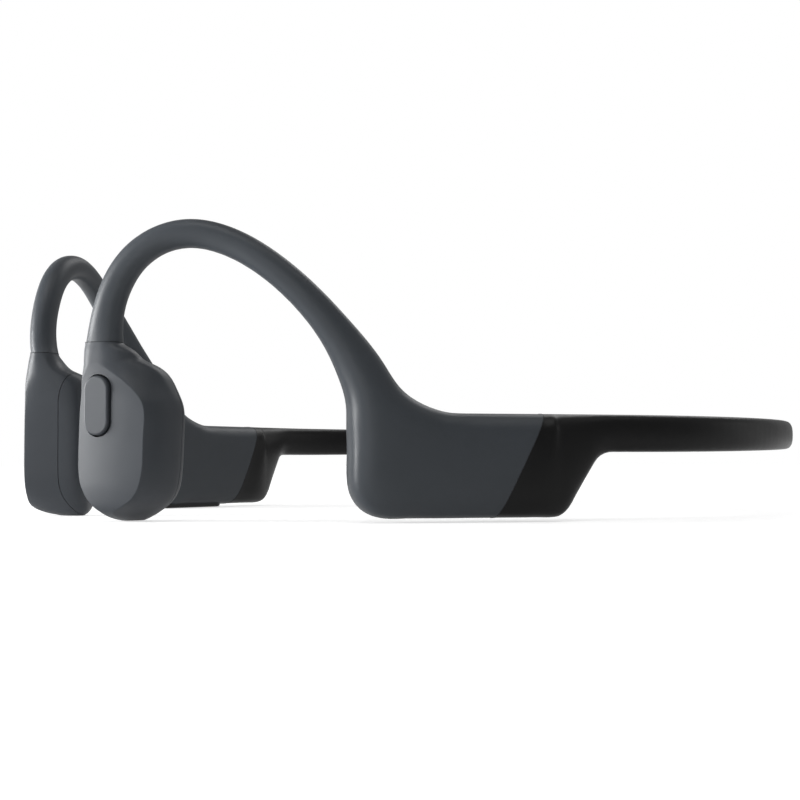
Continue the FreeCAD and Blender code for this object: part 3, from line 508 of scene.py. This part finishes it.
def seat(node, along, outward):
    """Placement on the middle of a CAD piece's inner face, and the piece's size on those axes."""
    axes = upright_axes(along, outward)
    back = axes.inverted()
    low, high = corners([back @ vertex.co for vertex in frame["nodes"][node].data.vertices])
    return inner_face(axes, low, high), [high[i] - low[i] for i in range(3)]


def joint_plane(side):
    """Point and direction of the slanting face where the neckband's boot meets a pod's grey sleeve."""
    level, least_slant, most_slant = 0.02, 0.5, 0.99
    forward, outward = pod_axes(side)
    groups = {}
    for face in frame["nodes"]["neckband_sleeve"].data.polygons:
        slants = least_slant < face.normal.dot(forward) < most_slant
        if slants and abs(face.normal.dot(outward)) < level and face.center.x * outward.x > 0:
            groups.setdefault(tuple(round(value, 2) for value in face.normal), []).append(face)
    faces = max(groups.values(), key=lambda group: sum(face.area for face in group))
    return faces[0].center.copy(), faces[0].normal.copy()


# --- meshes ------------------------------------------------------------------

def chains(edges):
    """Takes edges apart into runs of points that follow each other, the first edge first."""
    left = dict.fromkeys(edges)
    while left:
        edge = next(iter(left))
        del left[edge]
        run = [edge.verts[0], edge.verts[1]]
        while True:
            onward = [item for item in run[-1].link_edges if item in left]
            if not onward:
                break
            del left[onward[0]]
            run.append(onward[0].other_vert(run[-1]))
        yield [vertex.co.copy() for vertex in run]


def cut_outline(node, point, direction):
    """Longest outline of a CAD piece where a plane cuts it, as a mesh of edges."""
    work = bmesh.new()
    work.from_mesh(frame["nodes"][node].data)
    bmesh.ops.remove_doubles(work, verts=work.verts, dist=CAD_WELD)
    cut = bmesh.ops.bisect_plane(work, geom=work.verts[:] + work.edges[:] + work.faces[:],
                                 plane_co=point, plane_no=direction)
    runs = chains(item for item in cut["geom_cut"] if isinstance(item, bmesh.types.BMEdge))
    longest = max(runs, key=lambda run: sum((a - b).length for a, b in zip(run, run[1:])))
    work.free()
    if (longest[0] - longest[-1]).length < PIECE_WELD:
        longest.pop()
    mesh = bpy.data.meshes.new("outline")
    count = len(longest)
    mesh.from_pydata(longest, [(i, (i + 1) % count) for i in range(count)], [])
    return mesh


def rounded_outline(half_x, half_y, radius, steps):
    """Points of a rectangle with round corners."""
    points = []
    for quarter in range(4):
        x_side = 1 if quarter in (0, 3) else -1
        y_side = 1 if quarter in (0, 1) else -1
        for step in range(steps + 1):
            angle = math.radians(90 * quarter + 90 * step / steps)
            points.append((x_side * (half_x - radius) + radius * math.cos(angle),
                           y_side * (half_y - radius) + radius * math.sin(angle)))
    return points


def prism(outline, depth, edge):
    """Closed prism from an outline in the XY plane up to depth, with its far rim bevelled by edge."""
    work = bmesh.new()
    face = work.faces.new([work.verts.new((x, y, 0)) for x, y in outline])
    grown = bmesh.ops.extrude_face_region(work, geom=[face])
    far = [item for item in grown["geom"] if isinstance(item, bmesh.types.BMVert)]
    bmesh.ops.translate(work, verts=far, vec=(0, 0, depth))
    rim = [item for item in grown["geom"] if isinstance(item, bmesh.types.BMEdge)]
    bmesh.ops.bevel(work, geom=rim, offset=edge, segments=2, affect="EDGES", profile=0.5)
    mesh = bpy.data.meshes.new("prism")
    work.to_mesh(mesh)
    work.free()
    return mesh


def joined(meshes):
    work = bmesh.new()
    for mesh in meshes:
        work.from_mesh(mesh)
    whole = bpy.data.meshes.new("joined")
    work.to_mesh(whole)
    work.free()
    return whole


def turn_faces_out(mesh):
    work = bmesh.new()
    work.from_mesh(mesh)
    bmesh.ops.remove_doubles(work, verts=work.verts, dist=PIECE_WELD)
    bmesh.ops.recalc_face_normals(work, faces=work.faces)
    work.to_mesh(mesh)
    work.free()


def piece(name, mesh, slot, body=HEADSET, place=None):
    """Puts a finished mesh in the scene as a piece that rides on a body."""
    if place is not None:
        mesh.transform(place)
    turn_faces_out(mesh)
    mesh.shade_smooth()
    if not mesh.materials:
        mesh.materials.append(material(slot))
    mesh.name = name
    made = bpy.data.objects.new(name, mesh)
    bpy.context.scene.collection.objects.link(made)
    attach(made, body)
    return made


# --- operators ---------------------------------------------------------------

class HEADPHONES_OT_finishes(bpy.types.Operator):
    """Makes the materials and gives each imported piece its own"""
    bl_idname = "headphones.finishes"
    bl_label = "Finishes"

    def execute(self, context):
        made = finishes(context.scene.sleeve_settings, context.scene.housing_settings)
        SLOT_MATERIALS.update({slot: item.name for slot, item in made.items()})
        dress_nodes()
        return {"FINISHED"}


class HEADPHONES_OT_seams(bpy.types.Operator):
    """Draws fine lines of painted shade where each hook sleeve meets its transducer housing and the neckband's
    boot
    """
    bl_idname = "headphones.seams"
    bl_label = "Sleeve joint lines"

    INSET = 0.05 * MM        # from the joint to the cut that gives the line its course
    STEP = 0.4 * MM

    def execute(self, context):
        settings = context.scene.seam_settings
        # The joint line's dark colour is painted shade of the gap between the skins.
        dark = moulded("joint line", settings.colour, 0.6)
        for side in SIDES:
            housing = side + "_transducer_housing"
            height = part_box(housing)[1][2] - self.INSET
            point, direction = joint_plane(side)
            lines = {"_housing_joint_shade": cut_outline(housing, Vector((0, 0, height)), UP),
                     "_boot_joint_shade": cut_outline("neckband_sleeve", point - direction * self.INSET,
                                                     direction)}
            for name, outline in lines.items():
                piece(side + name, self.line(outline, settings.width, dark), "grey_silicone")
        return {"FINISHED"}

    def line(self, outline, width, dark):
        """Fine tube along an outline, dark with painted shade."""
        shape = Shape("joint line", Width=width, Material=dark)
        curve = shape.add("GeometryNodeMeshToCurve", {}, {"Mesh": shape.given("Geometry")})
        even = shape.add("GeometryNodeResampleCurve", {"mode": "LENGTH"},
                         {"Curve": curve, "Length": self.STEP})
        shape.end(shape.tube(even, shape.given("Width") / 2))
        return shape.make(outline)


class HEADPHONES_OT_windings(bpy.types.Operator):
    """Winds both voice coils turn by turn in place of their plain solids"""
    bl_idname = "headphones.windings"
    bl_label = "Voice coil windings"

    WALL = 0.5 * MM          # of the coil's solid
    FILL = 0.49              # radius of the drawn wire, as a share of its pitch
    CORNER_POINTS = 12

    def execute(self, context):
        settings = context.scene.driver_settings
        for side in SIDES:
            coil = side + "_driver_coil"
            place, (width, height, depth) = seat(coil, *transducer_axes(side))
            wire = min(self.WALL / settings.layers, depth / settings.rows)
            shape = Shape("voice coil", Width=width, Height=height, Depth=depth, Wire=wire,
                          Rows=settings.rows, Material=material("copper_coil"))
            shape.end(shape.join([self.layer(shape, index, settings.rows)
                                  for index in range(settings.layers)]))
            made = piece(side + "_coil_windings", shape.make(), "copper_coil", place=place)
            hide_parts(coil)
        return {"FINISHED"}

    def layer(self, shape, index, rows):
        """One layer of turns, lying index layers in from the coil's outside."""
        wire = shape.given("Wire")
        inset = wire * (2 * index + 1)
        width = shape.given("Width") - inset
        path = shape.rounded(width, shape.given("Height") - inset, width / 2, self.CORNER_POINTS)
        pitch = (shape.given("Depth") - wire) / (rows - 1)
        return shape.row(shape.tube(path, wire * self.FILL), shape.given("Rows"),
                         shape.vector(z=pitch), shape.vector(z=wire / 2))


class HEADPHONES_OT_solder(bpy.types.Operator):
    """Solders the main chip and the parts beside it to the board"""
    bl_idname = "headphones.solder"
    bl_label = "Soldered pads"

    FILLET = 0.26 * MM
    OVERHANG = 0.4           # how much wider than the part the row is, in fillets
    FLATTEN = 0.6

    def execute(self, context):
        settings = context.scene.electronics_settings
        along, outward = pod_axes("right")
        place, size = seat("main_chip", along, outward)
        meshes = [self.pads(size[0], size[1], settings.chip_pads, place)]
        axes = upright_axes(along, outward)
        for low, high in self.islands("board_parts", axes.inverted()):
            meshes.append(self.pads(high[0] - low[0], high[1] - low[1], settings.part_pads,
                                    inner_face(axes, low, high)))
        piece("board_solder", joined(meshes), "gold_contact")
        return {"FINISHED"}

    def pads(self, length, height, count, place):
        """Row of solder fillets round a part of this length and height."""
        shape = Shape("solder fillets", Length=length, Height=height, Count=count, Fillet=self.FILLET,
                      Material=material("gold_contact"))
        fillet = shape.given("Fillet")
        overhang = fillet * self.OVERHANG
        outline = shape.rounded(shape.given("Length") + overhang, shape.given("Height") + overhang,
                                fillet, 3)
        points = shape.add("GeometryNodeResampleCurve", {"mode": "COUNT"},
                           {"Curve": outline, "Count": shape.given("Count")})
        drop = shape.add("GeometryNodeMeshIcoSphere", {}, {"Radius": fillet / 2, "Subdivisions": 2})
        flat = shape.add("GeometryNodeTransform", {}, {"Geometry": drop, "Scale": (1.0, 1.0, self.FLATTEN)})
        shape.end(shape.spread(flat, points))
        mesh = shape.make()
        mesh.transform(place)
        return mesh

    def islands(self, node, back):
        """Corners of each separate part of a CAD piece, after the turn back."""
        work = bmesh.new()
        work.from_mesh(frame["nodes"][node].data)
        bmesh.ops.remove_doubles(work, verts=work.verts, dist=CAD_WELD)
        left = set(work.verts)
        found = []
        while left:
            group = [left.pop()]
            for vertex in group:
                for edge in vertex.link_edges:
                    other = edge.other_vert(vertex)
                    if other in left:
                        left.discard(other)
                        group.append(other)
            found.append(corners([back @ vertex.co for vertex in group]))
        work.free()
        return sorted(found)


class HEADPHONES_OT_cell_wrap(bpy.types.Operator):
    """Wraps the cell in tape bands and folds its side seams"""
    bl_idname = "headphones.cell_wrap"
    bl_label = "Cell tape and seams"

    CORNER = 1.2 * MM        # of the cell's section
    TAPE = 0.05 * MM
    AMBER = (0.62, 0.26, 0.035)
    BANDS = (-0.36, 0.34)    # middle of each band, in cell lengths from the cell's middle
    FOLD_LENGTH = 0.94       # in cell lengths
    FOLD_WIDTH = 0.68        # in cell thicknesses
    FOLD_CORNER = 0.5 * MM
    FOLD_THICK = 0.16 * MM
    FOLD_EDGE = 0.05 * MM
    FOLD_BED = 0.02 * MM

    def execute(self, context):
        width = context.scene.electronics_settings.tape
        place, (length, height, thick) = seat("battery_cell", *pod_axes("left"))
        wrap = joined([self.band(height, thick, middle * length, width) for middle in self.BANDS])
        wrap.materials.append(tape("polyimide tape", self.AMBER))
        piece("cell_tape", wrap, "cell_foil", place=place)
        folds = joined([self.fold(length, height, thick, hand) for hand in (-1, 1)])
        piece("cell_folded_seams", folds, "cell_foil", place=place)
        return {"FINISHED"}

    def section(self, height, thick, grow):
        """Outline of the cell across its length, grown by the thickness of what lies on it."""
        outline = rounded_outline(height / 2 + grow, thick / 2 + grow, self.CORNER + grow, 8)
        return [(y, z + thick / 2) for y, z in outline]

    def band(self, height, thick, middle, width):
        """Loop of tape round the cell."""
        rings = [self.section(height, thick, grow) for grow in (0.0, self.TAPE)]
        ends = (middle - width / 2, middle + width / 2)
        points = [(x, y, z) for ring in rings for x in ends for y, z in ring]
        count = len(rings[0])
        order = (0, 1, 3, 2)
        faces = []
        for here, there in zip(order, order[1:] + order[:1]):
            for i in range(count):
                j = (i + 1) % count
                faces.append((here * count + i, here * count + j, there * count + j, there * count + i))
        mesh = bpy.data.meshes.new("band")
        mesh.from_pydata(points, [], faces)
        return mesh

    def fold(self, length, height, thick, hand):
        """Sealed edge of the pouch, folded flat on its side."""
        outline = rounded_outline(length * self.FOLD_LENGTH / 2, thick * self.FOLD_WIDTH / 2,
                                  self.FOLD_CORNER, 6)
        mesh = prism(outline, self.FOLD_THICK, self.FOLD_EDGE)
        turn = Matrix.Rotation(math.radians(-90 * hand), 4, "X")
        side = Matrix.Translation((0, hand * (height / 2 - self.FOLD_BED), thick / 2))
        mesh.transform(side @ turn)
        return mesh


class HEADPHONES_OT_key_marks(bpy.types.Operator):
    """Raises a plus and a minus on the two volume keys"""
    bl_idname = "headphones.key_marks"
    bl_label = "Volume key marks"

    BED = 0.03 * MM
    EDGE = 0.02 * MM
    ARMS = {"volume_up": 4, "volume_down": 2}

    def execute(self, context):
        settings = context.scene.key_settings
        along = pod_axes("right")[0]
        axes = Matrix((along, along.cross(UP), -UP)).transposed().to_4x4()
        for key, arms in self.ARMS.items():
            low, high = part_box(key + "_button")
            middle = Vector(((low[0] + high[0]) / 2, (low[1] + high[1]) / 2, low[2] + self.BED))
            mesh = prism(self.outline(settings, arms), settings.relief + self.BED, self.EDGE)
            piece(key + "_mark", mesh, "black_plastic", key + "_button", Matrix.Translation(middle) @ axes)
        return {"FINISHED"}

    def outline(self, settings, arms):
        """Round-ended strokes that cross in the middle; two arms are a bar and four a plus."""
        half = settings.stroke / 2
        arm_end = [(settings.reach - half + half * math.cos(math.radians(angle)),
                    half * math.sin(math.radians(angle))) for angle in range(-90, 91, 30)]
        if arms == 4:
            arm_end.append((half, half))
        turns = [Matrix.Rotation(2 * math.pi * arm / arms, 2) for arm in range(arms)]
        return [tuple(turn @ Vector(point)) for turn in turns for point in arm_end]


class HEADPHONES_OT_contact_rings(bpy.types.Operator):
    """Seals each charging contact with a moulded ring"""
    bl_idname = "headphones.contact_rings"
    bl_label = "Contact rings"

    REACH = 0.62 * MM
    BEAD = 0.07 * MM
    RISE = 0.1 * MM          # above the contacts' lower faces
    POINTS = 40

    def execute(self, context):
        forward, outward = pod_axes("right")
        place, (length, drop, spread) = seat("charging_contacts", forward, outward)
        shape = Shape("contact rings", Spread=spread - length, Reach=self.REACH, Bead=self.BEAD,
                      Material=material("black_plastic"))
        ring = shape.tube(shape.circle(shape.given("Reach"), self.POINTS), shape.given("Bead"))
        shape.end(shape.row(ring, 2, shape.vector(y=shape.given("Spread"))))
        first = place @ Vector((0, self.RISE - drop / 2, length / 2))
        axes = Matrix((forward, outward, UP)).transposed().to_4x4()
        piece("contact_rings", shape.make(), "black_plastic", place=Matrix.Translation(first) @ axes)
        return {"FINISHED"}


class HEADPHONES_OT_status_light(bpy.types.Operator):
    """Sets a lens in the control strip's face, over the status light's window"""
    bl_idname = "headphones.status_light"
    bl_label = "Status light"

    BED = 0.05 * MM
    PROUD = 0.015 * MM
    EDGE = 0.01 * MM
    POINTS = 32

    def execute(self, context):
        low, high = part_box("status_led_window")
        radius = (high[0] - low[0]) / 2
        turns = [2 * math.pi * i / self.POINTS for i in range(self.POINTS)]
        outline = [(radius * math.cos(turn), radius * math.sin(turn)) for turn in turns]
        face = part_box("control_strip")[0][2]
        middle = Vector(((low[0] + high[0]) / 2, (low[1] + high[1]) / 2, face + self.BED))
        down = Matrix.Rotation(math.pi, 4, "X")
        piece("status_light_lens", prism(outline, self.BED + self.PROUD, self.EDGE), "led_lens",
              place=Matrix.Translation(middle) @ down)
        return {"FINISHED"}


class HEADPHONES_OT_stage(bpy.types.Operator):
    """Lays the floor, sets the lamps and places the camera"""
    bl_idname = "headphones.stage"
    bl_label = "Stage"

    FLOOR_HALF = 3.0
    FLOOR_GAP = 0.1 * MM
    FLOOR_WHITE = (0.80, 0.80, 0.80)
    FLOOR_FADE = (0.12, 0.55)      # distances between which the floor turns to white
    # Brightness of the floor and the sky in every ray, and what is added in rays that the camera
    # sees, in those that see the far floor, and in reflections.
    FLOOR_GLOW, FLOOR_SEEN, FLOOR_FAR, FLOOR_MIRRORED = 0.09, 0.53, 0.38, 0.30
    SKY_GLOW, SKY_SEEN, SKY_MIRRORED = 0.03, 0.97, 0.36

    CAMERA_PLACE = (0.2267, -0.1557, 0.0092)
    CAMERA_TURN = 56.3
    CAMERA_SHIFT = 0.0782
    SENSOR = 36
    NEAR = 0.01

    # Name, azimuth from the camera's bearing with minus to its left, elevation, width, the setting
    # that holds the power and the lamp's share of it.
    LAMPS = (("key", -81, 1, 0.36, "key", 1),
             ("front low", -12, 6, 0.25, "front", 1),
             ("front high", -30, 62, 0.30, "front", 1.9),
             ("right high", 45, 62, 0.30, "front", 1),
             ("far right", 98, 10, 0.30, "front", 0.3),
             ("back high", 150, 44, 0.30, "back", 1),
             ("back left", -125, 6, 0.25, "back", 0.6))
    LAMP_DISTANCE = 0.6
    LAMP_TARGET = Vector((0.0, 0.0, 0.015))

    def execute(self, context):
        settings = context.scene.stage_settings
        self.floor(context.scene)
        self.world(context.scene)
        for name, azimuth, elevation, width, setting, share in self.LAMPS:
            self.soft_box(context.scene, name, azimuth, elevation, width,
                          getattr(settings, setting) * share)
        self.camera(context.scene, settings)
        return {"FINISHED"}

    def floor(self, scene):
        half = self.FLOOR_HALF
        mesh = bpy.data.meshes.new("floor")
        mesh.from_pydata([(-half, -half, 0), (half, -half, 0), (half, half, 0), (-half, half, 0)], [],
                         [(0, 1, 2, 3)])
        mesh.materials.append(self.floor_material())
        floor = bpy.data.objects.new("floor", mesh)
        floor.location.z = CAD_BOX[0][2] - self.FLOOR_GAP
        scene.collection.objects.link(floor)

    def floor_material(self):
        """Pale floor that glows for the camera, so that it fades into the white behind it."""
        f = Finish("floor")
        cloud = f.noise(0.4, 2.0)
        f.set(Base_Color=f.tint(self.FLOOR_WHITE, 0.01, cloud), Roughness=0.9)
        reach = f.add("ShaderNodeVectorMath", {"operation": "LENGTH"}, [f.coordinates()], output="Value")
        near, far = self.FLOOR_FADE
        faded = f.add("ShaderNodeMapRange", {"interpolation_type": "SMOOTHSTEP"},
                      {"Value": reach, "From Min": near, "From Max": far})
        strength = (self.FLOOR_GLOW + f.ray("Is Camera Ray") * (self.FLOOR_SEEN + faded * self.FLOOR_FAR)
                    + f.ray("Is Glossy Ray") * self.FLOOR_MIRRORED)
        glow = f.add("ShaderNodeEmission", {}, {"Strength": strength})
        both = f.add("ShaderNodeAddShader", {}, [Value(f, f.shader.outputs[0]), glow])
        f.feed(f.tree.nodes["Material Output"].inputs["Surface"], both)
        return f.material

    def world(self, scene):
        scene.world = bpy.data.worlds.new("studio")
        scene.world.use_nodes = True
        studio = Graph(scene.world.node_tree)
        background = studio.tree.nodes["Background"]
        studio.feed(background.inputs["Color"], (1, 1, 1, 1))
        studio.feed(background.inputs["Strength"],
                    self.SKY_GLOW + studio.ray("Is Camera Ray") * self.SKY_SEEN
                    + studio.ray("Is Glossy Ray") * self.SKY_MIRRORED)

    def soft_box(self, scene, name, azimuth, elevation, width, power):
        """Square lamp that faces the headset from these angles."""
        bearing = math.radians(self.CAMERA_TURN - 90 + azimuth)
        rise = math.radians(elevation)
        away = Vector((math.cos(bearing) * math.cos(rise), math.sin(bearing) * math.cos(rise),
                       math.sin(rise)))
        data = bpy.data.lights.new(name, "AREA")
        data.shape = "SQUARE"
        data.size = width
        data.energy = power
        lamp = bpy.data.objects.new(name, data)
        lamp.location = self.LAMP_TARGET + away * self.LAMP_DISTANCE
        lamp.rotation_euler = away.to_track_quat("Z", "Y").to_euler()
        scene.collection.objects.link(lamp)

    def camera(self, scene, settings):
        data = bpy.data.cameras.new("camera")
        data.lens = settings.lens
        data.sensor_width = self.SENSOR
        data.shift_y = self.CAMERA_SHIFT
        data.clip_start = self.NEAR
        camera = bpy.data.objects.new("camera", data)
        camera.location = self.CAMERA_PLACE
        camera.rotation_euler = (math.pi / 2, 0, math.radians(self.CAMERA_TURN))
        scene.collection.objects.link(camera)
        scene.camera = camera
        scene.view_settings.view_transform = "Standard"


class HEADPHONES_PT_panel(bpy.types.Panel):
    """Buttons for each group of pieces"""
    bl_label = "Headphones"
    bl_idname = "HEADPHONES_PT_panel"
    bl_space_type = "VIEW_3D"
    bl_region_type = "UI"
    bl_category = "Headphones"

    def draw(self, context):
        for name in STEPS:
            self.layout.operator("headphones." + name)


STEPS = ("finishes", "seams", "windings", "solder", "cell_wrap", "key_marks", "contact_rings",
         "status_light", "stage")
SETTINGS = (("sleeve_settings", SleeveSettings), ("housing_settings", HousingSettings),
            ("seam_settings", SeamSettings), ("driver_settings", DriverSettings),
            ("electronics_settings", ElectronicsSettings), ("key_settings", KeySettings),
            ("stage_settings", StageSettings))
CLASSES = tuple(group for name, group in SETTINGS) + (
    HEADPHONES_OT_finishes, HEADPHONES_OT_seams, HEADPHONES_OT_windings, HEADPHONES_OT_solder,
    HEADPHONES_OT_cell_wrap, HEADPHONES_OT_key_marks, HEADPHONES_OT_contact_rings,
    HEADPHONES_OT_status_light, HEADPHONES_OT_stage, HEADPHONES_PT_panel)


def register():
    for item in CLASSES:
        bpy.utils.register_class(item)
    for name, group in SETTINGS:
        setattr(bpy.types.Scene, name, bpy.props.PointerProperty(type=group))


def unregister():
    for name, group in SETTINGS:
        delattr(bpy.types.Scene, name)
    for item in reversed(CLASSES):
        bpy.utils.unregister_class(item)


def main():
    register()
    for name in STEPS:
        getattr(bpy.ops.headphones, name)()


if __name__ == "__main__":
    main()
